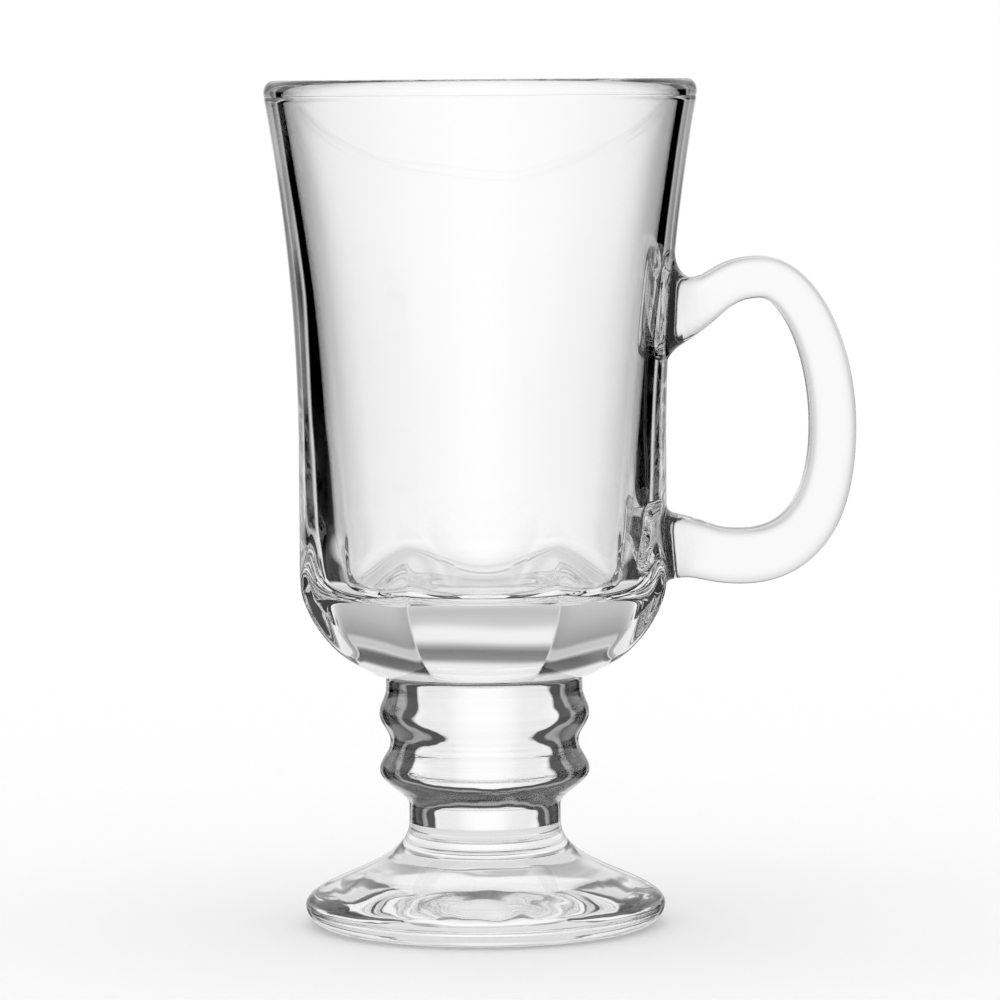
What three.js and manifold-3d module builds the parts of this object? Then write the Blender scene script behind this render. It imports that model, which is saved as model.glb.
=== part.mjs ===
// A footed coffee mug of clear pressed glass: a flared bowl with eight facets round its belly,
// a solid stem with two knops, a trumpet foot and a looped handle.
// Millimetres, +Z up. The origin is on the mug's axis, on the table that the foot stands on,
// and the handle points along +X.

import * as THREE from 'three';
import { mergeVertices } from 'three/addons/utils/BufferGeometryUtils.js';
import Module from 'manifold-3d';

// Foot
const FOOT_RADIUS = 31.4;
const FOOT_HEIGHT = 18;
const FOOT_EDGE_REACH = 4.4; // from the rest ring out to the edge
const FOOT_EDGE_HEIGHT = 3.4; // of the widest place of the edge
const FOOT_NECK_SWEEP = 8.3; // height over which the trumpet leaves the neck
const FOOT_EDGE_SWEEP = 4.4; // height over which the trumpet turns down to the edge
const REST_RING_WIDTH = 4;
const FOOT_HOLLOW_DEPTH = 1;

// Stem, measured upwards from the foot
const NECK_RADIUS = 13.2;
const NECK_LENGTH = 2.8;
const SHOULDER_LENGTH = 6.2; // from the neck to the widest place of the lower knop
const LOWER_KNOP_RADIUS = 18.3;
const LOWER_KNOP_TO_WAIST = 5;
const WAIST_RADIUS = 16.4;
const WAIST_TO_UPPER_KNOP = 4.9;
const UPPER_KNOP_RADIUS = 18.3;
const UPPER_KNOP_TO_COLLAR = 4.5;
const COLLAR_RADIUS = 17.1;
const COLLAR_LENGTH = 2;
const COLLAR_FLARE = 0.8; // height in which the collar widens to the bowl

// Bowl outside, heights measured from its base
const BOWL_HEIGHT = 102.8;
const BOWL_BASE_RADIUS = 19.3;
const BOWL_RADIUS = 31.9;
const BELLY_HEIGHT = 19.2; // height of the rounded bottom
const FLARE_START = 39;
const RIM_RADIUS = 37.2; // wall under the rim bead
const BEAD_HEIGHT = 4.2;
const BEAD_PROUD = 0.3;

// Panels round the bowl: bowed almost as round as the wall, and flat facets in the belly
const PANEL_COUNT = 8;
const PANEL_TOP = 45;
const PANEL_TOP_FADE = 8; // height in which a panel dies into the flare
const WALL_FLATNESS = 0.04; // 0 is round and 1 is flat
const FACET_TOP = 27;
const FACET_TOP_FADE = 13; // height in which a facet turns into the bowed panel
const FACET_BASE_FADE = 5; // height in which it grows out of the round base
const CORNER_SHARE = 0.9; // of a sharp corner between two panels that is left

// Bowl inside
const BASE_THICKNESS = 14.7;
const FLOOR_WALL = 6.5;
const RIM_WALL = 3;
const FLOOR_CORNER_REACH = 4; // rounded corner between the wall and the floor
const FLOOR_CORNER_HEIGHT = 2.5;

// Handle: a centre line of four curves, measured from the bowl's wall and base
const UPPER_ROOT_HEIGHT = 63.4;
const LOWER_ROOT_HEIGHT = 21.7;
const ARCH_REACH = 15.4;
const ARCH_RISE = 5;
const GRIP_REACH = 28.9;
const SAG_REACH = 12.9;
const SAG_DROP = 1.8;
const UPPER_BEND_PULL = 0.53; // share of a bend's span; 0.55 would be a circle
const LOWER_BEND_PULL = 0.65;
const HANDLE_WIDTH = 9.6;
const ARCH_THICKNESS = 7.2;
const GRIP_THICKNESS = 8;
const SAG_THICKNESS = 9.4;
const UPPER_ROOT_THICKNESS = 16.4;
const LOWER_ROOT_THICKNESS = 12;
const ROOT_WIDTH = 12;
const ROOT_FLARE = 9; // length over which a root swells
const SECTION_POWER = 6; // 2 is an ellipse, more is squarer
const WELD_GAP = 0.3;

// Fineness of the facets
const ROUND_SEGMENTS = 48;
const TRUMPET_STEPS = 12;
const CURVE_STEPS = 8;
const WAVE_STEPS = 6;
const ARC_STEPS = 4;
const SECTION_SIDES = 20;
const BEND_RINGS = 11;
const MERGE_DISTANCE = 1e-4;

const STEM_BASE = FOOT_HEIGHT;
const STEM_HEIGHT = NECK_LENGTH + SHOULDER_LENGTH + LOWER_KNOP_TO_WAIST
  + WAIST_TO_UPPER_KNOP + UPPER_KNOP_TO_COLLAR + COLLAR_LENGTH + COLLAR_FLARE;
const BOWL_BASE = STEM_BASE + STEM_HEIGHT;

const wasm = await Module();
wasm.setup();

const glass = new THREE.MeshStandardMaterial({
  color: 0xf3f6f5,
  roughness: 0.04,
  metalness: 0,
  transparent: true,
  opacity: 0.35,
});

// A closed geometry with shared vertices and no collapsed triangles, as a solid
function solidOf(geometry) {
  geometry.deleteAttribute('normal');
  geometry.deleteAttribute('uv');
  const merged = mergeVertices(geometry, MERGE_DISTANCE);
  const index = merged.index.array;
  const triangles = [];
  for (let i = 0; i < index.length; i += 3) {
    const [a, b, c] = [index[i], index[i + 1], index[i + 2]];
    if (a !== b && b !== c && c !== a) triangles.push(a, b, c);
  }
  return new wasm.Manifold(new wasm.Mesh({
    numProp: 3,
    vertProperties: new Float32Array(merged.attributes.position.array),
    triVerts: new Uint32Array(triangles),
  }));
}

function meshOf(name, solid) {
  const { vertProperties, triVerts } = solid.getMesh();
  const geometry = new THREE.BufferGeometry();
  geometry.setAttribute('position', new THREE.BufferAttribute(vertProperties, 3));
  geometry.setIndex(new THREE.BufferAttribute(triVerts, 1));
  geometry.computeVertexNormals();
  const mesh = new THREE.Mesh(geometry, glass);
  mesh.name = name;
  return mesh;
}

// Turns an outline of (radius, height) points, listed upwards, about the mug's axis
function turned(outline) {
  const points = outline.map(([radius, height]) => new THREE.Vector2(radius, height));
  const geometry = new THREE.LatheGeometry(points, ROUND_SEGMENTS);
  return solidOf(geometry.rotateX(Math.PI / 2));
}

// Closed skin over a row of sections with a flat cap on each end
function lofted(rings) {
  const sides = rings[0].length;
  const position = rings.flat().flatMap(({ x, y, z }) => [x, y, z]);
  const index = [];
  for (let r = 0; r + 1 < rings.length; r += 1) {
    for (let i = 0; i < sides; i += 1) {
      const [a, b] = [r * sides + i, r * sides + (i + 1) % sides];
      index.push(a, b, a + sides, b, b + sides, a + sides);
    }
  }
  const last = (rings.length - 1) * sides;
  for (let i = 1; i + 1 < sides; i += 1) {
    index.push(0, i + 1, i, last, last + i, last + i + 1);
  }
  const geometry = new THREE.BufferGeometry();
  geometry.setAttribute('position', new THREE.Float32BufferAttribute(position, 3));
  geometry.setIndex(index);
  return solidOf(geometry);
}

// 0 to 1 with level ends
function ease(t) {
  return (1 - Math.cos(Math.PI * THREE.MathUtils.clamp(t, 0, 1))) / 2;
}

function steps(from, to, count) {
  return Array.from({ length: count + 1 }, (_, i) => from + (to - from) * i / count);
}

// Foot: trumpet above, rounded edge, flat rest ring and a shallow hollow below
function makeFoot() {
  const edgeCentre = FOOT_RADIUS - FOOT_EDGE_REACH;
  const hollowRadius = edgeCentre - REST_RING_WIDTH;
  const hollow = steps(0, hollowRadius, ARC_STEPS)
    .map((radius) => [radius, FOOT_HOLLOW_DEPTH * (1 - (radius / hollowRadius) ** 2)]);
  const edge = steps(-Math.PI / 2, 0, ARC_STEPS)
    .map((angle) => [
      edgeCentre + FOOT_EDGE_REACH * Math.cos(angle),
      FOOT_EDGE_HEIGHT * (1 + Math.sin(angle)),
    ]);
  const sweep = new THREE.CubicBezierCurve(
    new THREE.Vector2(FOOT_RADIUS, FOOT_EDGE_HEIGHT),
    new THREE.Vector2(FOOT_RADIUS, FOOT_EDGE_HEIGHT + FOOT_EDGE_SWEEP),
    new THREE.Vector2(NECK_RADIUS, FOOT_HEIGHT - FOOT_NECK_SWEEP),
    new THREE.Vector2(NECK_RADIUS, FOOT_HEIGHT),
  );
  const trumpet = sweep.getPoints(TRUMPET_STEPS).slice(1).map(({ x, y }) => [x, y]);
  return turned([...hollow, ...edge, ...trumpet, [0, FOOT_HEIGHT]]);
}

// Stem: smooth waves between its wide and narrow places
function makeStem() {
  const stations = [
    [NECK_RADIUS, NECK_LENGTH],
    [LOWER_KNOP_RADIUS, SHOULDER_LENGTH],
    [WAIST_RADIUS, LOWER_KNOP_TO_WAIST],
    [UPPER_KNOP_RADIUS, WAIST_TO_UPPER_KNOP],
    [COLLAR_RADIUS, UPPER_KNOP_TO_COLLAR],
    [COLLAR_RADIUS, COLLAR_LENGTH],
    [BOWL_BASE_RADIUS, COLLAR_FLARE],
  ];
  const outline = [[0, STEM_BASE], [NECK_RADIUS, STEM_BASE]];
  let [radius, height] = [NECK_RADIUS, STEM_BASE];
  for (const [nextRadius, rise] of stations) {
    const level = nextRadius === radius;
    for (const t of steps(0, 1, level ? 1 : WAVE_STEPS).slice(1)) {
      outline.push([radius + (nextRadius - radius) * ease(t), height + rise * t]);
    }
    radius = nextRadius;
    height += rise;
  }
  return turned([...outline, [0, BOWL_BASE]]);
}

// Radius of the bowl's round outside at a height above its base
function bowlRadius(height) {
  if (height < BELLY_HEIGHT) {
    const depth = BELLY_HEIGHT / Math.sqrt(1 - (BOWL_BASE_RADIUS / BOWL_RADIUS) ** 2);
    return BOWL_RADIUS * Math.sqrt(1 - ((BELLY_HEIGHT - height) / depth) ** 2);
  }
  const flare = (height - FLARE_START) / (BOWL_HEIGHT - BEAD_HEIGHT - FLARE_START);
  return BOWL_RADIUS + (RIM_RADIUS - BOWL_RADIUS) * Math.max(flare, 0) ** 2;
}

// Share by which the panels are flat: hardly on the wall, fully in the belly, round at both ends
function flatness(height) {
  const onWall = WALL_FLATNESS * ease((PANEL_TOP - height) / PANEL_TOP_FADE);
  const inBelly = (1 - WALL_FLATNESS) * ease((FACET_TOP - height) / FACET_TOP_FADE);
  const short = THREE.MathUtils.clamp(1 - height / FACET_BASE_FADE, 0, 1);
  return (onWall + inBelly) * (1 - short ** 2);
}

// Heights that follow the belly closely, then the tops of facets and panels and the flare
function bowlHeights() {
  const belly = steps(0, 1, CURVE_STEPS).map((t) => BELLY_HEIGHT * t ** 2);
  const facetFade = steps(BELLY_HEIGHT, FACET_TOP, ARC_STEPS).slice(1);
  const panelFade = steps(PANEL_TOP - PANEL_TOP_FADE, PANEL_TOP, ARC_STEPS);
  const flare = steps(PANEL_TOP, BOWL_HEIGHT - BEAD_HEIGHT, CURVE_STEPS).slice(1);
  return [...belly, ...facetFade, ...panelFade, ...flare];
}

// Radius of the bowl's outside in one direction: panels, with their corners rounded off
function outsideRadius(height, angle) {
  const pitch = 2 * Math.PI / PANEL_COUNT;
  const fromMiddle = angle - pitch * Math.round(angle / pitch);
  const cornerRise = CORNER_SHARE * (1 / Math.cos(pitch / 2) - 1);
  const rise = Math.min(1 / Math.cos(fromMiddle) - 1, cornerRise);
  return bowlRadius(height) * (1 + flatness(height) * rise);
}

// Level ring of points, its radius given for each direction
function levelRing(height, radiusAt) {
  return Array.from({ length: ROUND_SEGMENTS }, (_, i) => {
    const angle = 2 * Math.PI * i / ROUND_SEGMENTS;
    const radius = radiusAt(angle);
    return new THREE.Vector3(radius * Math.cos(angle), radius * Math.sin(angle), height);
  });
}

// Radius of the cavity: a wall that thins towards the rim, with a rounded corner at the floor
function cavityRadius(height) {
  const top = BOWL_HEIGHT - BEAD_HEIGHT / 2;
  const above = height - BASE_THICKNESS;
  const thinning = (1 - above / (top - BASE_THICKNESS)) ** 2;
  const radius = bowlRadius(height) - RIM_WALL - (FLOOR_WALL - RIM_WALL) * thinning;
  const inCorner = THREE.MathUtils.clamp(1 - above / FLOOR_CORNER_HEIGHT, 0, 1);
  return radius - FLOOR_CORNER_REACH * (1 - Math.sqrt(1 - inCorner ** 2));
}

// Rim bead: an oval that swells outwards and runs into the cavity's wall on the inside
const bead = {
  radius: RIM_RADIUS - RIM_WALL / 2,
  height: BOWL_HEIGHT - BEAD_HEIGHT / 2,
  outerWidth: RIM_WALL / 2 + BEAD_PROUD,
};
bead.innerWidth = bead.radius - cavityRadius(bead.height);
bead.foot = Math.acos(RIM_WALL / 2 / bead.outerWidth);

// Points of the bead up to its top, from an angle below or beside its middle
function beadPoints(from, halfWidth) {
  return steps(from, Math.PI / 2, CURVE_STEPS).map((angle) => [
    bead.radius + halfWidth * Math.cos(angle),
    bead.height + BEAD_HEIGHT / 2 * Math.sin(angle),
  ]);
}

// The bowl's outside without its cavity, grown all round by a margin
function bowlBlock(margin) {
  const wall = bowlHeights().map((height) => levelRing(
    BOWL_BASE + height,
    (angle) => outsideRadius(height, angle) + margin,
  ));
  const rim = beadPoints(-bead.foot, bead.outerWidth).map(([radius, height]) => levelRing(
    BOWL_BASE + height,
    () => radius + margin,
  ));
  return lofted([...wall, ...rim]);
}

function makeBowl() {
  const cornerTop = BASE_THICKNESS + FLOOR_CORNER_HEIGHT;
  const corner = steps(0, Math.PI / 2, CURVE_STEPS)
    .map((angle) => BASE_THICKNESS + FLOOR_CORNER_HEIGHT * (1 - Math.cos(angle)));
  const rim = beadPoints(Math.PI, bead.innerWidth);
  const wall = steps(cornerTop, bead.height, CURVE_STEPS).slice(1, -1);
  const side = [...corner, ...wall].map((height) => [cavityRadius(height), height]);
  const mouth = BOWL_HEIGHT + BEAD_HEIGHT;
  const outline = [[0, BASE_THICKNESS], ...side, ...rim, [bead.radius, mouth], [0, mouth]]
    .map(([radius, height]) => [radius, BOWL_BASE + height]);
  return bowlBlock(0).subtract(turned(outline));
}

// One quarter-turn or S-bend of the handle's centre line, in the plane Y = 0
function bend(from, fromPull, to, toPull) {
  const point = ([x, z]) => new THREE.Vector3(x, 0, z);
  const pulled = ([x, z], [dx, dz]) => point([x + dx, z + dz]);
  return new THREE.CubicBezierCurve3(
    point(from), pulled(from, fromPull), pulled(to, toPull), point(to),
  );
}

// Centre line: out of the wall, over the arch, down the grip, under the sag and back
function handleBends() {
  const upperWall = bowlRadius(UPPER_ROOT_HEIGHT);
  const lowerWall = bowlRadius(LOWER_ROOT_HEIGHT);
  const upper = BOWL_BASE + UPPER_ROOT_HEIGHT;
  const lower = BOWL_BASE + LOWER_ROOT_HEIGHT;
  const roots = { upper: [upperWall, upper], lower: [lowerWall, lower] };
  const arch = [upperWall + ARCH_REACH, upper + ARCH_RISE];
  const grip = [lowerWall + GRIP_REACH, (upper + lower) / 2];
  const sag = [lowerWall + SAG_REACH, lower - SAG_DROP];
  return [
    bend(roots.upper, [ARCH_REACH / 2, 0], arch, [-ARCH_REACH / 2, 0]),
    bend(
      arch, [UPPER_BEND_PULL * (grip[0] - arch[0]), 0],
      grip, [0, UPPER_BEND_PULL * (arch[1] - grip[1])],
    ),
    bend(
      grip, [0, LOWER_BEND_PULL * (sag[1] - grip[1])],
      sag, [LOWER_BEND_PULL * (grip[0] - sag[0]), 0],
    ),
    bend(sag, [-SAG_REACH / 2, 0], roots.lower, [SAG_REACH / 2, 0]),
  ];
}

// Share of a half side along an oval that is squarer than an ellipse
function squared(unit) {
  return Math.sign(unit) * Math.abs(unit) ** (2 / SECTION_POWER);
}

// Oval section square to the centre line
function section(centre, tangent, thickness, width) {
  const across = new THREE.Vector3(tangent.z, 0, -tangent.x);
  return Array.from({ length: SECTION_SIDES }, (_, i) => {
    const angle = 2 * Math.PI * i / SECTION_SIDES;
    const out = thickness / 2 * squared(Math.cos(angle));
    const point = centre.clone().addScaledVector(across, out);
    point.y += width / 2 * squared(Math.sin(angle));
    return point;
  });
}

// Thickness and width of the handle at a point, swelling towards its two roots
function handleSize(point, slim, roots) {
  let [thickness, width] = [slim, HANDLE_WIDTH];
  for (const root of roots) {
    const swell = Math.max(1 - point.distanceTo(root.point) / ROOT_FLARE, 0) ** 2;
    thickness += (root.thickness - slim) * swell;
    width += (ROOT_WIDTH - HANDLE_WIDTH) * swell;
  }
  return [thickness, width];
}

function makeHandle() {
  const bends = handleBends();
  const thickness = [
    ARCH_THICKNESS, ARCH_THICKNESS, GRIP_THICKNESS, SAG_THICKNESS, SAG_THICKNESS,
  ];
  const roots = [
    { point: bends[0].getPoint(0), thickness: UPPER_ROOT_THICKNESS },
    { point: bends.at(-1).getPoint(1), thickness: LOWER_ROOT_THICKNESS },
  ];
  const rings = [];
  bends.forEach((curve, b) => {
    for (const t of steps(0, 1, BEND_RINGS).slice(b === 0 ? 0 : 1)) {
      const centre = curve.getPoint(t);
      const slim = THREE.MathUtils.lerp(thickness[b], thickness[b + 1], ease(t));
      rings.push(section(centre, curve.getTangent(t), ...handleSize(centre, slim, roots)));
    }
  });
  const inwards = new THREE.Vector3(-FLOOR_WALL, 0, 0);
  const buried = (ring) => ring.map((point) => point.clone().add(inwards));
  const loop = lofted([buried(rings[0]), ...rings, buried(rings.at(-1))]);
  return loop.subtract(bowlBlock(WELD_GAP));
}

const mug = new THREE.Group();
mug.add(meshOf('foot', makeFoot()));
mug.add(meshOf('stem', makeStem()));
mug.add(meshOf('bowl', makeBowl()));
mug.add(meshOf('handle', makeHandle()));

export default mug;
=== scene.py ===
"""Looks of a footed coffee mug of clear pressed glass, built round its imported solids.

Metres, +Z up, the mug's axis on Z and its handle along +X. The mug is four glass pieces that
were fused while hot: bowl, stem, foot and handle. Where two of them meet, both end in the same
weld face, which light passes straight through.
"""

import math

import bmesh
import bpy
import numpy as np
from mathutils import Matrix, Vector
from mathutils.geometry import delaunay_2d_cdt


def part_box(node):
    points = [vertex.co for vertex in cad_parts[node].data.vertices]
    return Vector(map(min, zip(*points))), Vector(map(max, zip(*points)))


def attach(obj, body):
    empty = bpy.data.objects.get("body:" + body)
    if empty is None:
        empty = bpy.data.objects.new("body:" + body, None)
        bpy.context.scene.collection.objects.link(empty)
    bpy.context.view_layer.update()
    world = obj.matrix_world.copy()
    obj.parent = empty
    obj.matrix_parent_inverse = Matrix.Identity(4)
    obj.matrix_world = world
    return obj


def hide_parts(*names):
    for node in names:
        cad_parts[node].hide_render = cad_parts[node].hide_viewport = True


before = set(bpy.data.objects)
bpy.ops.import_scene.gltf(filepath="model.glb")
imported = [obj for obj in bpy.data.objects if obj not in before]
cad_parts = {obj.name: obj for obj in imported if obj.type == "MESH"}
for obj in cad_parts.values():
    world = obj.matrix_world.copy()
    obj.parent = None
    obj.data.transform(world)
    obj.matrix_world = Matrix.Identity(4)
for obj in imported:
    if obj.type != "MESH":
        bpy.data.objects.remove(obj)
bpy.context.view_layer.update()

# Sizes that the solids give
BOWL_LOW, BOWL_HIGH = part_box("bowl")
_, STEM_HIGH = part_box("stem")
_, FOOT_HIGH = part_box("foot")
BOWL_BASE = BOWL_LOW.z
BOWL_HEIGHT = BOWL_HIGH.z - BOWL_LOW.z
FOOT_HEIGHT = FOOT_HIGH.z
FOOT_RADIUS = FOOT_HIGH.y
BOWL_BASE_RADIUS = STEM_HIGH.y

# Foot
FOOT_EDGE_REACH = 0.0044
FOOT_EDGE_HEIGHT = 0.0034
FOOT_NECK_SWEEP = 0.0083
FOOT_EDGE_SWEEP = 0.0044
REST_RING_WIDTH = 0.004
FOOT_HOLLOW_DEPTH = 0.001

# Stem, measured upwards from the foot
NECK_RADIUS = 0.0132
NECK_LENGTH = 0.0028
SHOULDER_LENGTH = 0.0062
KNOP_RADIUS = 0.0183
LOWER_KNOP_TO_WAIST = 0.005
WAIST_RADIUS = 0.0164
WAIST_TO_UPPER_KNOP = 0.0049
UPPER_KNOP_TO_COLLAR = 0.0045
COLLAR_RADIUS = 0.0171
COLLAR_LENGTH = 0.002
COLLAR_FLARE = 0.0008

# Bowl, heights measured from its base
BOWL_RADIUS = 0.0319
BELLY_HEIGHT = 0.0192
FLARE_START = 0.039
RIM_RADIUS = 0.0372
RIM_WALL = 0.003
BEAD_HEIGHT = 0.0042
BEAD_PROUD = 0.00028
PANEL_COUNT = 8
PANEL_TOP = 0.045
PANEL_TOP_FADE = 0.008
WALL_FLATNESS = 0.04
FACET_TOP = 0.027
FACET_TOP_FADE = 0.013
FACET_BASE_FADE = 0.005
CORNER_SHARE = 0.9
EDGE_SOFTNESS = 0.15
BASE_THICKNESS = 0.0147
FLOOR_WALL = 0.0065
FLOOR_CORNER_REACH = 0.004
FLOOR_CORNER_HEIGHT = 0.0025

# Handle, measured from the bowl's wall and base
UPPER_ROOT_HEIGHT = 0.0634
LOWER_ROOT_HEIGHT = 0.0217
ARCH_REACH = 0.0154
ARCH_RISE = 0.005
GRIP_REACH = 0.0289
SAG_REACH = 0.0129
SAG_DROP = 0.0018
UPPER_BEND_PULL = 0.53
LOWER_BEND_PULL = 0.65
HANDLE_WIDTH = 0.0096
ARCH_THICKNESS = 0.0072
GRIP_THICKNESS = 0.008
SAG_THICKNESS = 0.0094
UPPER_ROOT_THICKNESS = 0.0164
LOWER_ROOT_THICKNESS = 0.012
ROOT_WIDTH = 0.012
ROOT_FLARE = 0.009
ROOT_FILLET = 0.0014
ROOT_SEAT = 0.008
SECTION_POWER = 6
ROOT_SHADE_REACH = 0.0018

# Fineness of the meshes
PANEL_STEPS = 40
PROFILE_STEP = 0.0006
CENTRE_RADIUS = 0.0005
HOLLOW_POINTS = 40
FOOT_EDGE_POINTS = 12
FOOT_SWEEP_POINTS = 120
STATION_POINTS = 30
WALL_POINTS = 600
BEAD_POINTS = 48
CAVITY_POINTS = 300
FLOOR_CORNER_POINTS = 40
FLOOR_POINTS = 30
SECTION_POINTS = 96
ROOT_BEND_POINTS = 90
ROOT_CROWDING = 1.6
GRIP_BEND_POINTS = 70
WALL_PLACE_ROUNDS = 8
LOWER_ROOT_ORDER = (SECTION_POINTS // 2 - np.arange(SECTION_POINTS)) % SECTION_POINTS

# Wall meshed anew round a handle root: its width, and how clear of the root's ring its points stay
WELD_MARGIN = 0.002
WELD_CLEARANCE = 0.0003
WELD_TOLERANCE = 1e-9

# Photograph: a square frame, its lens and where the camera stood
FRAME_PIXELS = 1000
FOCAL_PIXELS = 5306
AXIS_PIXEL = 480
CAMERA_PLACE = Vector((0, -0.92, 0.146))
CAMERA_PITCH = math.radians(4.47)
CAMERA_ROLL = math.radians(0.4)
SENSOR_WIDTH = 36

# Painted shade in the glass's base colour, by 1 minus the cosine of the slant at which it is seen:
# darker edges, and on the stem and at the handle's roots dark bands with paler lines
WALL_PAINTED_SHADE = ((0, 1), (0.13, 0.98), (0.23, 0.95), (0.33, 0.92), (0.49, 0.85), (0.73, 0.7), (1, 0.6))
STEM_PAINTED_SHADE = (
    (0, 1), (0.26, 0.92), (0.29, 0.003), (0.38, 0.003), (0.41, 0.14), (0.45, 0.1), (0.48, 0.004),
    (0.6, 0.02), (0.66, 0.004), (0.74, 0.004), (0.78, 0.2), (1, 0.2),
)
ROOT_PAINTED_SHADE = (
    (0, 0.96), (0.05, 0.85), (0.09, 0.004), (0.5, 0.004), (0.54, 0.3), (0.62, 0.2), (0.66, 0.004),
    (1, 0.1),
)
HANDLE_PAINTED_SHADE = ((0, 0.96), (0.02, 0.9), (0.1, 0.75), (0.3, 0.6), (1, 0.5))

# How far noise shifts that shade over the glass
STEM_WANDER = 0.3
ROOT_WANDER = 0.1
WANDER_SCALE = 150
WANDER_DETAIL = 2

# Finishes: least and most roughness, the scale of the waves' noise and the waves' height
WALL_FINISH = ((0, 0.03), 25, 0.0005)
POLISHED_FINISH = ((0, 0.03), 40, 0.00012)
STIPPLED_FINISH = ((0, 0.08), 120, 0.0002)
WAVE_DETAIL = 1
HAZE_SCALE = 60
HAZE_DETAIL = 3
GLASS_COLOUR = (0.997, 1, 0.998, 1)
GLASS_IOR = 1.5

# Studio that shows straight through the glass: light by degrees round from +Y and degrees up
THROUGH_SIDEWAYS = ((0, 1), (5, 1), (10, 0.96), (15, 0.87), (26, 0.87), (36, 1), (180, 1))
THROUGH_UPWARDS = ((-90, 1), (24, 1), (36, 0.9), (44, 0), (90, 0))

# Studio that shows by reflection in the glass: light by degrees up, and what is dark in it,
# for fewest and most reflections, by degrees round from +Y and degrees up
REFLECTED_UPWARDS = (
    (-90, 0.75), (-32, 0.75), (-24, 0.92), (-19, 1), (24, 1), (36, 0.95), (46, 0.85), (90, 0.85),
)
MOST_BOUNCES = 32
MOST_GLOSSY_BOUNCES = 16
ALL_ROUND = ((0, 1), (180, 1))
DIM_SIDES = (
    1, MOST_BOUNCES,
    (
        (0, 0), (4, 0), (8, 0.15), (13, 0.45), (16, 0.78), (20, 0.78), (24, 0.74), (28, 0.45),
        (36, 0), (180, 0),
    ),
    (
        (-90, 0), (-9, 0), (-6.5, 0.55), (-4.2, 0.55), (-3, 0.95), (4, 0.75), (10, 0.65),
        (16, 0), (90, 0),
    ),
)
BLACK_CORNERS = (
    1, MOST_BOUNCES,
    (
        (0, 0), (28, 0), (30.5, 1), (66, 1), (76, 0.5), (92, 0.3), (100, 0.5), (125, 0.5),
        (140, 0.35), (150, 0.35), (165, 0.1), (180, 0),
    ),
    ((-90, 0), (-26, 0), (-20, 1), (2, 1), (6, 0), (90, 0)),
)
TABLE_EDGE = (
    1, MOST_BOUNCES,
    ((0, 1), (10, 1), (13, 0), (180, 0)),
    (
        (-90, 0), (-11, 0), (-9.5, 0.2), (-8, 0.75), (-5, 0.84), (-3.5, 0.6), (-1.8, 0.1),
        (1, 0.1), (3, 0.4), (6, 0.5), (12, 0), (90, 0),
    ),
)
TABLE_EDGE_BESIDE = (
    1, MOST_BOUNCES,
    ((0, 0), (11, 0), (13, 1), (22, 1), (26, 0), (180, 0)),
    ((-90, 0), (-17, 0), (-14.5, 0.95), (-9, 1), (-7.5, 0.5), (-6.5, 0), (90, 0)),
)
THIRD_IMAGE = (3, 3, ALL_ROUND, ((-90, 0), (-40, 0), (-30, 1), (14, 1), (20, 0), (90, 0)))
LATER_IMAGES = (
    4, MOST_BOUNCES, ALL_ROUND, ((-90, 0), (-26, 0), (-20, 1), (-4, 1), (0, 0), (90, 0)),
)
DARK_PARTS = (
    DIM_SIDES, BLACK_CORNERS, TABLE_EDGE, TABLE_EDGE_BESIDE, THIRD_IMAGE, LATER_IMAGES,
)
FLOOR_RADIUS = 0.6
FLOOR_CORNERS = 128


def ease(t):
    """0 to 1 with level ends."""
    return (1 - np.cos(np.pi * np.clip(t, 0, 1))) / 2


def bezier(p0, p1, p2, p3, t):
    """Points and directions of a cubic curve at the shares t of its way."""
    p0, p1, p2, p3 = (np.array(p, float) for p in (p0, p1, p2, p3))
    t = np.asarray(t)[:, None]
    s = 1 - t
    points = s**3 * p0 + 3 * s**2 * t * p1 + 3 * s * t**2 * p2 + t**3 * p3
    slopes = 3 * s**2 * (p1 - p0) + 6 * s * t * (p2 - p1) + 3 * t**2 * (p3 - p2)
    return points, slopes / np.linalg.norm(slopes, axis=1)[:, None]


def even(outline, step=PROFILE_STEP):
    """An outline of (radius, height) points spread evenly along its length."""
    outline = np.array(outline, float)
    lengths = np.linalg.norm(np.diff(outline, axis=0), axis=1)
    way = np.concatenate([[0], np.cumsum(lengths)])
    places = np.linspace(0, way[-1], max(2, round(way[-1] / step)) + 1)
    return np.stack([np.interp(places, way, outline[:, k]) for k in (0, 1)], axis=1)


def panel_angles():
    """Directions round the axis from -pi, closer together at the panels' edges."""
    t = np.arange(PANEL_STEPS) / PANEL_STEPS * 2 - 1
    shares = (0.5 * t + 0.5 * np.sin(np.pi / 2 * t)) / 2
    pitch = 2 * np.pi / PANEL_COUNT
    middles = -np.pi + pitch * np.arange(PANEL_COUNT)
    angles = (middles[:, None] + pitch * shares[None, :]).ravel()
    return np.sort((angles + np.pi) % (2 * np.pi) - np.pi)


ANGLES = panel_angles()


def bowl_radius(height):
    """Radius of the bowl's round outside at heights above its base."""
    height = np.asarray(height, float)
    depth = BELLY_HEIGHT / math.sqrt(1 - (BOWL_BASE_RADIUS / BOWL_RADIUS) ** 2)
    below = np.clip(BELLY_HEIGHT - height, 0, None) / depth
    flare = (height - FLARE_START) / (BOWL_HEIGHT - BEAD_HEIGHT - FLARE_START)
    belly = BOWL_RADIUS * np.sqrt(1 - below**2)
    return belly + (RIM_RADIUS - BOWL_RADIUS) * np.clip(flare, 0, None) ** 2


def flatness(height):
    """How flat the panels are: bowed up the wall, flat in the belly, round at both ends."""
    on_wall = WALL_FLATNESS * ease((PANEL_TOP - height) / PANEL_TOP_FADE)
    in_belly = (1 - WALL_FLATNESS) * ease((FACET_TOP - height) / FACET_TOP_FADE)
    short = np.clip(1 - height / FACET_BASE_FADE, 0, 1)
    return (on_wall + in_belly) * (1 - short**2)


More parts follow.
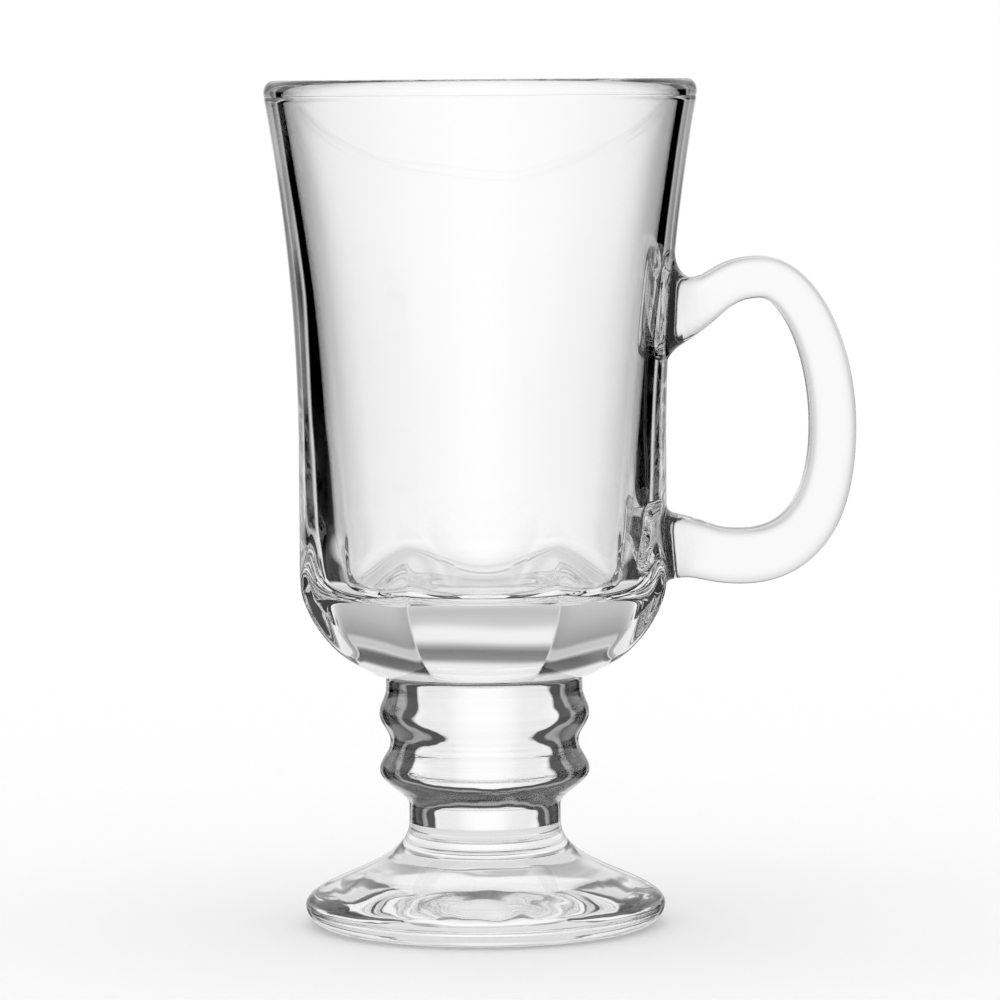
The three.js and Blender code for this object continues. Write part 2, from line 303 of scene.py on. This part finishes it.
def outside_radius(height, angle):
    """Radius of the bowl's outside: panels that meet in rounded edges."""
    pitch = 2 * np.pi / PANEL_COUNT
    from_middle = angle - pitch * np.round(angle / pitch)
    flat = bowl_radius(height) * flatness(height)
    rise = 1 / np.cos(from_middle) - 1
    edge_rise = CORNER_SHARE * (1 / math.cos(pitch / 2) - 1)
    soft = np.hypot(rise - edge_rise, EDGE_SOFTNESS * edge_rise)
    return bowl_radius(height) + flat * (rise + edge_rise - soft) / 2


def cavity_radius(height):
    """Radius of the cavity: a wall that thins to the rim and a rounded corner at the floor."""
    top = BOWL_HEIGHT - BEAD_HEIGHT / 2
    above = height - BASE_THICKNESS
    thinning = (1 - above / (top - BASE_THICKNESS)) ** 2
    radius = bowl_radius(height) - RIM_WALL - (FLOOR_WALL - RIM_WALL) * thinning
    in_corner = np.clip(1 - above / FLOOR_CORNER_HEIGHT, 0, 1)
    return radius - FLOOR_CORNER_REACH * (1 - np.sqrt(1 - in_corner**2))


class Skin:
    """Points and faces of one closed piece; a face is glass, a weld or a second glass."""

    GLASS, WELD, OTHER_GLASS = 0, 1, 2

    def __init__(self):
        self.points = []
        self.faces = []
        self.finishes = []

    def add_points(self, points):
        first = len(self.points)
        self.points.extend(map(tuple, points))
        return list(range(first, first + len(points)))

    def add_face(self, corners, finish=GLASS):
        self.faces.append(tuple(corners))
        self.finishes.append(finish)

    def band(self, lower, upper, skip=(), finish=GLASS):
        """Quads between two closed rings of points, without those at the places in skip."""
        count = len(lower)
        for i in range(count):
            if i not in skip:
                j = (i + 1) % count
                self.add_face((lower[i], lower[j], upper[j], upper[i]), finish)

    def cap(self, ring, centre, finish, upwards):
        middle = self.add_points([centre])[0]
        for a, b in zip(ring, ring[1:] + ring[:1]):
            self.add_face((a, b, middle) if upwards else (b, a, middle), finish)


def level_ring(height, radius):
    radius = np.broadcast_to(radius, ANGLES.shape)
    level = np.full_like(ANGLES, height)
    return np.stack([radius * np.cos(ANGLES), radius * np.sin(ANGLES), level], axis=1)


def turned(skin, outline, finish=Skin.GLASS):
    """Rings of an outline turned about the axis, joined by bands, from below upwards."""
    rings = [skin.add_points(level_ring(height, radius)) for radius, height in outline]
    for lower, upper in zip(rings, rings[1:]):
        skin.band(lower, upper, finish=finish)
    return rings


def foot_skin():
    edge_centre = FOOT_RADIUS - FOOT_EDGE_REACH
    hollow_radius = edge_centre - REST_RING_WIDTH
    radii = np.linspace(CENTRE_RADIUS, hollow_radius, HOLLOW_POINTS)
    hollow = np.stack([radii, FOOT_HOLLOW_DEPTH * (1 - (radii / hollow_radius) ** 2)], axis=1)
    turn = np.linspace(-np.pi / 2, 0, FOOT_EDGE_POINTS)
    edge = np.stack([
        edge_centre + FOOT_EDGE_REACH * np.cos(turn),
        FOOT_EDGE_HEIGHT * (1 + np.sin(turn)),
    ], axis=1)
    sweep, _ = bezier(
        (FOOT_RADIUS, FOOT_EDGE_HEIGHT),
        (FOOT_RADIUS, FOOT_EDGE_HEIGHT + FOOT_EDGE_SWEEP),
        (NECK_RADIUS, FOOT_HEIGHT - FOOT_NECK_SWEEP),
        (NECK_RADIUS, FOOT_HEIGHT),
        np.linspace(0, 1, FOOT_SWEEP_POINTS),
    )
    skin = Skin()
    under = turned(skin, even(hollow), Skin.OTHER_GLASS)
    rings = turned(skin, even(np.concatenate([hollow[-1:], edge, sweep]))[1:])
    skin.band(under[-1], rings[0])
    skin.cap(under[0], (0, 0, FOOT_HOLLOW_DEPTH), Skin.OTHER_GLASS, upwards=False)
    skin.cap(rings[-1], (0, 0, FOOT_HEIGHT), Skin.WELD, upwards=True)
    return skin


def stem_skin():
    stations = (
        (NECK_RADIUS, NECK_LENGTH),
        (KNOP_RADIUS, SHOULDER_LENGTH),
        (WAIST_RADIUS, LOWER_KNOP_TO_WAIST),
        (KNOP_RADIUS, WAIST_TO_UPPER_KNOP),
        (COLLAR_RADIUS, UPPER_KNOP_TO_COLLAR),
        (COLLAR_RADIUS, COLLAR_LENGTH),
        (BOWL_BASE_RADIUS, COLLAR_FLARE),
    )
    outline = [(NECK_RADIUS, FOOT_HEIGHT)]
    for radius, rise in stations:
        start, level = outline[-1]
        for t in np.linspace(0, 1, STATION_POINTS)[1:]:
            outline.append((start + (radius - start) * ease(t), level + rise * t))
    skin = Skin()
    rings = turned(skin, even(outline))
    skin.cap(rings[0], (0, 0, FOOT_HEIGHT), Skin.WELD, upwards=False)
    skin.cap(rings[-1], (0, 0, BOWL_BASE), Skin.WELD, upwards=True)
    return skin


def wall_place(y, height):
    """Direction and distance from the axis of the bowl's outside, seen from +X."""
    angle = np.zeros_like(y)
    for _ in range(WALL_PLACE_ROUNDS):
        radius = outside_radius(height, angle)
        angle = np.arcsin(y / radius)
    return angle, radius


def bead_points():
    """Rim bead from its foot on the outside of the wall over the top to the cavity's wall."""
    middle = RIM_RADIUS - RIM_WALL / 2
    level = BOWL_HEIGHT - BEAD_HEIGHT / 2
    outer = RIM_WALL / 2 + BEAD_PROUD
    inner = middle - float(cavity_radius(level))
    foot = math.acos(RIM_WALL / 2 / outer)
    turn = np.linspace(-foot, np.pi, BEAD_POINTS)
    reach = np.where(turn < np.pi / 2, outer, inner)
    return np.stack([
        middle + reach * np.cos(turn), level + BEAD_HEIGHT / 2 * np.sin(turn),
    ], axis=1)


class HandleRoot:
    """Where the handle meets the bowl: the ring on the wall and the weld face inside it."""

    def __init__(self, height, thickness):
        turn = 2 * np.pi * np.arange(SECTION_POINTS) / SECTION_POINTS
        self.y = (ROOT_WIDTH / 2 + ROOT_FILLET) * rounded(np.sin(turn))
        self.height = height + (thickness / 2 + ROOT_FILLET) * rounded(np.cos(turn))
        self.angle, self.radius = wall_place(self.y, self.height)
        self.faces = []
        self.ring_ids = []

    def reach(self):
        return self.radius * np.cos(self.angle)

    def ring(self):
        return np.stack([
            self.reach(),
            self.radius * np.sin(self.angle),
            BOWL_BASE + self.height,
        ], axis=1)


def rounded(unit):
    """Share of a half side along an oval that is squarer than an ellipse."""
    return np.sign(unit) * np.abs(unit) ** (2 / SECTION_POWER)


def weld_root(skin, root, heights, rings):
    """Cuts a handle root's ring into the bowl's wall, and returns the bands that it takes."""
    lows = np.searchsorted(heights, root.height.min() - WELD_MARGIN) - 1
    tops = np.searchsorted(heights, root.height.max() + WELD_MARGIN)
    left = np.searchsorted(ANGLES, root.angle.min() - WELD_MARGIN / BOWL_RADIUS) - 1
    right = np.searchsorted(ANGLES, root.angle.max() + WELD_MARGIN / BOWL_RADIUS)
    ring_flat = np.stack([root.angle * BOWL_RADIUS, root.height], axis=1)
    flat, ids = [], []
    for i in range(lows, tops + 1):
        for j in range(left, right + 1):
            place = np.array([ANGLES[j] * BOWL_RADIUS, heights[i]])
            on_border = i in (lows, tops) or j in (left, right)
            clear = np.min(np.linalg.norm(ring_flat - place, axis=1)) > WELD_CLEARANCE
            if on_border or clear:
                flat.append(place)
                ids.append(rings[i][j])
    ring_ids = skin.add_points(root.ring())
    start = len(flat)
    flat.extend(ring_flat)
    ids.extend(ring_ids)
    edges = [(start + k, start + (k + 1) % SECTION_POINTS) for k in range(SECTION_POINTS)]
    found = delaunay_2d_cdt([Vector(p) for p in flat], edges, [], 0, WELD_TOLERANCE)
    places, faces, sources = found[0], found[2], found[3]
    for face in faces:
        middle = sum((places[v] for v in face), Vector((0, 0))) / len(face)
        inside = inside_ring(middle, ring_flat)
        corners = [ids[sources[v][0]] for v in face]
        skin.add_face(corners, Skin.WELD if inside else Skin.GLASS)
        if inside:
            root.faces.append(corners)
    root.ring_ids = ring_ids
    return {(i, j) for i in range(lows, tops) for j in range(left, right)}


def inside_ring(point, ring):
    """True if a flat point lies inside a closed ring of flat points."""
    x, y = point
    following = np.roll(ring, -1, axis=0)
    crosses = (ring[:, 1] > y) != (following[:, 1] > y)
    a, b = ring[crosses], following[crosses]
    at = a[:, 0] + (y - a[:, 1]) * (b[:, 0] - a[:, 0]) / (b[:, 1] - a[:, 1])
    return np.count_nonzero(at > x) % 2 == 1


def bowl_skin(roots):
    skin = Skin()
    bead = bead_points()
    wall_top = bead[0, 1]
    profile = [(bowl_radius(h), h) for h in np.linspace(0, wall_top, WALL_POINTS)]
    heights = even(profile)[:, 1]
    rings = [
        skin.add_points(level_ring(BOWL_BASE + h, outside_radius(h, ANGLES)))
        for h in heights
    ]
    taken = set()
    for root in roots:
        taken |= weld_root(skin, root, heights, rings)
    for i, (lower, upper) in enumerate(zip(rings, rings[1:])):
        skin.band(lower, upper, {j for (k, j) in taken if k == i})
    skin.cap(rings[0], (0, 0, BOWL_BASE), Skin.WELD, upwards=False)

    turn = np.linspace(0, np.pi / 2, FLOOR_CORNER_POINTS)
    floor_corner = BASE_THICKNESS + FLOOR_CORNER_HEIGHT * (1 - np.cos(turn))
    wall = np.linspace(floor_corner[-1], bead[-1, 1], CAVITY_POINTS)[1:-1]
    inside = np.concatenate([floor_corner, wall])
    cavity = np.stack([cavity_radius(inside), inside], axis=1)
    floor_radii = np.linspace(CENTRE_RADIUS, cavity[0, 0], FLOOR_POINTS)[:-1]
    floor = np.stack([floor_radii, np.full_like(floor_radii, BASE_THICKNESS)], axis=1)
    inner = even(np.concatenate([floor, cavity]))[::-1]
    outline = np.concatenate([bead[1:], inner])
    rest = [skin.add_points(level_ring(BOWL_BASE + h, r)) for r, h in outline]
    chain = [rings[-1], *rest]
    for lower, upper in zip(chain, chain[1:]):
        skin.band(lower, upper)
    skin.cap(chain[-1], (0, 0, BOWL_BASE + BASE_THICKNESS), Skin.GLASS, upwards=True)
    return skin


def handle_line():
    """Cubic bends of the handle's centre line, from its upper root, in the plane Y = 0."""
    upper_wall = float(outside_radius(UPPER_ROOT_HEIGHT, 0.0))
    lower_wall = float(outside_radius(LOWER_ROOT_HEIGHT, 0.0))
    upper = BOWL_BASE + UPPER_ROOT_HEIGHT
    lower = BOWL_BASE + LOWER_ROOT_HEIGHT
    arch = np.array([upper_wall + ARCH_REACH, upper + ARCH_RISE])
    grip = np.array([lower_wall + GRIP_REACH, (upper + lower) / 2])
    sag = np.array([lower_wall + SAG_REACH, lower - SAG_DROP])
    over = UPPER_BEND_PULL * (arch - grip)
    under = LOWER_BEND_PULL * (sag - grip)
    return (
        ((upper_wall, upper), (upper_wall + ARCH_REACH / 2, upper),
            (arch[0] - ARCH_REACH / 2, arch[1]), arch),
        (arch, (arch[0] - over[0], arch[1]), (grip[0], grip[1] + over[1]), grip),
        (grip, (grip[0], grip[1] + under[1]), (sag[0] - under[0], sag[1]), sag),
        (sag, (sag[0] - SAG_REACH / 2, sag[1]),
            (lower_wall + SAG_REACH / 2, lower), (lower_wall, lower)),
    )


def handle_skin(roots, bowl):
    thickness = (ARCH_THICKNESS, ARCH_THICKNESS, GRIP_THICKNESS, SAG_THICKNESS, SAG_THICKNESS)
    near_root = np.linspace(0, 1, ROOT_BEND_POINTS) ** ROOT_CROWDING
    along_grip = np.linspace(0, 1, GRIP_BEND_POINTS)
    ways = (near_root, along_grip, along_grip, 1 - near_root[::-1])
    points, slopes, slims = [], [], []
    for bend, way, first, second in zip(handle_line(), ways, thickness, thickness[1:]):
        skipped = 1 if points else 0
        place, slope = bezier(*bend, way)
        points.extend(place[skipped:])
        slopes.extend(slope[skipped:])
        slims.extend((first + (second - first) * ease(way))[skipped:])
    points, slopes = np.array(points), np.array(slopes)
    ends = (
        (points[0], UPPER_ROOT_THICKNESS, roots[0].reach()),
        (points[-1], LOWER_ROOT_THICKNESS, roots[1].reach()[LOWER_ROOT_ORDER]),
    )
    turn = 2 * np.pi * np.arange(SECTION_POINTS) / SECTION_POINTS
    skin = Skin()
    rings = []
    for centre, slope, slim in zip(points, slopes, slims):
        thick, wide, seat = slim, HANDLE_WIDTH, np.zeros(SECTION_POINTS)
        for end, root_thickness, reach in ends:
            away = np.linalg.norm(centre - end)
            swell = max(1 - away / ROOT_FLARE, 0) ** 2
            into = max(ROOT_FILLET - away, 0)
            fillet = ROOT_FILLET - math.sqrt(ROOT_FILLET**2 - into**2)
            thick += (root_thickness - slim) * swell + 2 * fillet
            wide += (ROOT_WIDTH - HANDLE_WIDTH) * swell + 2 * fillet
            follow = max(1 - away / ROOT_SEAT, 0) ** 2
            seat = seat + follow * (reach - end[0])
        out = thick / 2 * rounded(np.cos(turn))
        across = np.array([-slope[1], slope[0]])
        ring = np.stack([
            centre[0] + across[0] * out + seat,
            wide / 2 * rounded(np.sin(turn)),
            centre[1] + across[1] * out,
        ], axis=1)
        rings.append(ring)
    ids = [skin.add_points(ring) for ring in rings]
    gaps = [min(np.linalg.norm(centre - end) for end, *_ in ends) for centre in points]
    # Bands near the roots take the root glass, whose base colour paints dark shade round the
    # joints.
    for lower, upper, gap in zip(ids, ids[1:], gaps):
        finish = Skin.OTHER_GLASS if gap < ROOT_SHADE_REACH else Skin.GLASS
        skin.band(lower, upper, finish=finish)
    close_root(skin, ids[0], roots[0], bowl)
    close_root(skin, [ids[-1][k] for k in LOWER_ROOT_ORDER], roots[1], bowl)
    return skin


def close_root(skin, ring_ids, root, bowl):
    """Closes an end of the handle with the weld face that the bowl has there."""
    known = dict(zip(root.ring_ids, ring_ids))
    for corners in root.faces:
        for corner in corners:
            if corner not in known:
                known[corner] = skin.add_points([bowl.points[corner]])[0]
        skin.add_face([known[c] for c in reversed(corners)], Skin.WELD)


def maths(tree, operation, *values):
    """A maths node's result; a value is a number or another node's output."""
    node = tree.nodes.new("ShaderNodeMath")
    node.operation = operation
    for socket, value in zip(node.inputs, values):
        if isinstance(value, (int, float)):
            socket.default_value = value
        else:
            tree.links.new(value, socket)
    return node.outputs["Value"]


def graded(tree, value, stops):
    """Light that changes with a value by stops of (value, light)."""
    low, high = stops[0][0], stops[-1][0]
    share = maths(tree, "DIVIDE", maths(tree, "SUBTRACT", value, low), high - low)
    ramp = tree.nodes.new("ShaderNodeValToRGB")
    tree.links.new(share, ramp.inputs["Fac"])
    elements = ramp.color_ramp.elements
    while len(elements) < len(stops):
        elements.new(0.5)
    for element, (_, light) in zip(elements, stops):
        element.color = (light, light, light, 1)
    for element, (place, _) in zip(elements, stops):
        element.position = (place - low) / (high - low)
    return ramp.outputs["Color"]


def glass_material(name, finish, painted_shade, wander=0):
    """Clear pressed glass with slow waves, an uneven polish, and painted shade in its base colour
    that darkens it where it is seen at a slant.
    """
    roughness, wave_scale, wave_height = finish
    material = bpy.data.materials.new(name)
    material.use_nodes = True
    nodes, links = material.node_tree.nodes, material.node_tree.links
    shader = nodes["Principled BSDF"]
    shader.inputs["Base Color"].default_value = GLASS_COLOUR
    shader.inputs["IOR"].default_value = GLASS_IOR
    shader.inputs["Transmission Weight"].default_value = 1
    place = nodes.new("ShaderNodeTexCoord")
    shade_noise = nodes.new("ShaderNodeTexNoise")
    shade_noise.inputs["Scale"].default_value = WANDER_SCALE
    shade_noise.inputs["Detail"].default_value = WANDER_DETAIL
    links.new(place.outputs["Object"], shade_noise.inputs["Vector"])
    slant = nodes.new("ShaderNodeLayerWeight")
    slant.inputs["Blend"].default_value = 0.5
    shift = maths(material.node_tree, "MULTIPLY_ADD", shade_noise.outputs["Fac"], wander, -wander / 2)
    wavy_slant = maths(material.node_tree, "ADD", slant.outputs["Facing"], shift)
    # Painted shade: the base colour darkens with the slant at which the glass is seen, shifted a
    # little by noise.
    painted_edge_shade = graded(material.node_tree, wavy_slant, painted_shade)
    links.new(painted_edge_shade, shader.inputs["Base Color"])
    bloom = nodes.new("ShaderNodeTexNoise")
    bloom.inputs["Scale"].default_value = HAZE_SCALE
    bloom.inputs["Detail"].default_value = HAZE_DETAIL
    haze = nodes.new("ShaderNodeMapRange")
    haze.inputs["To Min"].default_value = roughness[0]
    haze.inputs["To Max"].default_value = roughness[1]
    links.new(place.outputs["Object"], bloom.inputs["Vector"])
    links.new(bloom.outputs["Fac"], haze.inputs["Value"])
    links.new(haze.outputs["Result"], shader.inputs["Roughness"])
    waves = nodes.new("ShaderNodeTexNoise")
    waves.inputs["Scale"].default_value = wave_scale
    waves.inputs["Detail"].default_value = WAVE_DETAIL
    bump = nodes.new("ShaderNodeBump")
    bump.inputs["Strength"].default_value = 1
    bump.inputs["Distance"].default_value = wave_height
    links.new(place.outputs["Object"], waves.inputs["Vector"])
    links.new(waves.outputs["Fac"], bump.inputs["Height"])
    links.new(bump.outputs["Normal"], shader.inputs["Normal"])
    return material


def weld_material():
    """Inside of a fused joint, where glass meets glass and nothing shows."""
    material = bpy.data.materials.new("fused_weld")
    material.use_nodes = True
    nodes, links = material.node_tree.nodes, material.node_tree.links
    nodes.remove(nodes["Principled BSDF"])
    clear = nodes.new("ShaderNodeBsdfTransparent")
    links.new(clear.outputs["BSDF"], nodes["Material Output"].inputs["Surface"])
    return material


def make_piece(name, skin, node, materials):
    mesh = bpy.data.meshes.new(name)
    mesh.from_pydata(skin.points, [], skin.faces)
    for material in materials:
        mesh.materials.append(material)
    mesh.polygons.foreach_set("material_index", skin.finishes)
    mesh.polygons.foreach_set("use_smooth", [True] * len(skin.faces))
    work = bmesh.new()
    work.from_mesh(mesh)
    bmesh.ops.recalc_face_normals(work, faces=work.faces)
    for edge in work.edges:
        finishes = {face.material_index for face in edge.link_faces}
        edge.smooth = len(finishes) == 1 or finishes == {Skin.GLASS, Skin.OTHER_GLASS}
    work.to_mesh(mesh)
    work.free()
    piece = bpy.data.objects.new(name, mesh)
    bpy.context.scene.collection.objects.link(piece)
    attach(piece, "root")
    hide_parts(node)


def make_mug():
    weld = weld_material()
    # Each glass's base colour carries painted shade where it is seen at a slant; the stem and root
    # glass paint dark bands.
    wall = glass_material("wall_glass", WALL_FINISH, WALL_PAINTED_SHADE)
    stem = glass_material("stem_glass", POLISHED_FINISH, STEM_PAINTED_SHADE, STEM_WANDER)
    handle = glass_material("handle_glass", POLISHED_FINISH, HANDLE_PAINTED_SHADE)
    root = glass_material("root_glass_painted_shade", POLISHED_FINISH, ROOT_PAINTED_SHADE, ROOT_WANDER)
    stippled = glass_material("stippled_glass", STIPPLED_FINISH, WALL_PAINTED_SHADE)
    roots = (
        HandleRoot(UPPER_ROOT_HEIGHT, UPPER_ROOT_THICKNESS),
        HandleRoot(LOWER_ROOT_HEIGHT, LOWER_ROOT_THICKNESS),
    )
    bowl = bowl_skin(roots)
    make_piece("glass_bowl", bowl, "bowl", (wall, weld))
    make_piece("glass_stem", stem_skin(), "stem", (stem, weld))
    make_piece("glass_foot", foot_skin(), "foot", (wall, weld, stippled))
    make_piece("glass_handle", handle_skin(roots, bowl), "handle", (handle, weld, root))


def make_camera():
    data = bpy.data.cameras.new("camera")
    data.sensor_width = SENSOR_WIDTH
    data.lens = SENSOR_WIDTH * FOCAL_PIXELS / FRAME_PIXELS
    data.shift_x = (FRAME_PIXELS / 2 - AXIS_PIXEL) / FRAME_PIXELS
    camera = bpy.data.objects.new("camera", data)
    camera.location = CAMERA_PLACE
    camera.rotation_euler = (math.pi / 2 - CAMERA_PITCH, CAMERA_ROLL, 0)
    bpy.context.scene.collection.objects.link(camera)
    bpy.context.scene.camera = camera


def make_floor():
    bpy.ops.mesh.primitive_circle_add(vertices=FLOOR_CORNERS, radius=FLOOR_RADIUS, fill_type="NGON")
    floor = bpy.context.object
    floor.name = "floor"
    material = bpy.data.materials.new("pale_floor")
    material.use_nodes = True
    shader = material.node_tree.nodes["Principled BSDF"]
    shader.inputs["Base Color"].default_value = (1, 1, 1, 1)
    shader.inputs["Roughness"].default_value = 1
    shader.inputs["Specular IOR Level"].default_value = 0
    floor.data.materials.append(material)
    floor.visible_glossy = False
    floor.visible_transmission = False


def make_light():
    """White studio, and the dimmer and dark parts of it that the glass shows at its edges."""
    world = bpy.data.worlds.new("studio")
    world.use_nodes = True
    tree = world.node_tree
    way = tree.nodes.new("ShaderNodeTexCoord")
    parts = tree.nodes.new("ShaderNodeSeparateXYZ")
    tree.links.new(way.outputs["Generated"], parts.inputs["Vector"])
    turn = maths(tree, "ARCTAN2", parts.outputs["X"], parts.outputs["Y"])
    sideways = maths(tree, "DEGREES", maths(tree, "ABSOLUTE", turn))
    upwards = maths(tree, "DEGREES", maths(tree, "ARCSINE", parts.outputs["Z"]))
    ray = tree.nodes.new("ShaderNodeLightPath")
    reflections = ray.outputs["Glossy Depth"]

    dark = 0
    for fewest, most, dark_sideways, dark_upwards in DARK_PARTS:
        enough = maths(tree, "GREATER_THAN", reflections, fewest - 0.5)
        few = maths(tree, "LESS_THAN", reflections, most + 0.5)
        place = maths(
            tree, "MULTIPLY",
            graded(tree, sideways, dark_sideways), graded(tree, upwards, dark_upwards),
        )
        part = maths(tree, "MULTIPLY", maths(tree, "MULTIPLY", enough, few), place)
        dark = maths(tree, "MAXIMUM", dark, part)
    reflected = maths(
        tree, "MULTIPLY",
        graded(tree, upwards, REFLECTED_UPWARDS), maths(tree, "SUBTRACT", 1, dark),
    )
    through = maths(
        tree, "MULTIPLY",
        graded(tree, sideways, THROUGH_SIDEWAYS), graded(tree, upwards, THROUGH_UPWARDS),
    )
    straight = maths(tree, "LESS_THAN", reflections, 0.5)
    shown = maths(
        tree, "ADD",
        maths(tree, "MULTIPLY", straight, through),
        maths(tree, "MULTIPLY", maths(tree, "SUBTRACT", 1, straight), reflected),
    )
    lighting = maths(tree, "GREATER_THAN", ray.outputs["Diffuse Depth"], 0)
    plain = maths(tree, "MAXIMUM", ray.outputs["Is Camera Ray"], lighting)
    background = tree.nodes["Background"]
    background.inputs["Color"].default_value = (1, 1, 1, 1)
    tree.links.new(maths(tree, "MAXIMUM", plain, shown), background.inputs["Strength"])
    world.cycles.sampling_method = "NONE"
    bpy.context.scene.world = world


def set_render():
    scene = bpy.context.scene
    scene.view_settings.view_transform = "Standard"
    scene.cycles.max_bounces = MOST_BOUNCES
    scene.cycles.transmission_bounces = MOST_BOUNCES
    scene.cycles.glossy_bounces = MOST_GLOSSY_BOUNCES
    scene.cycles.transparent_max_bounces = MOST_BOUNCES


make_mug()
make_camera()
make_floor()
make_light()
set_render()
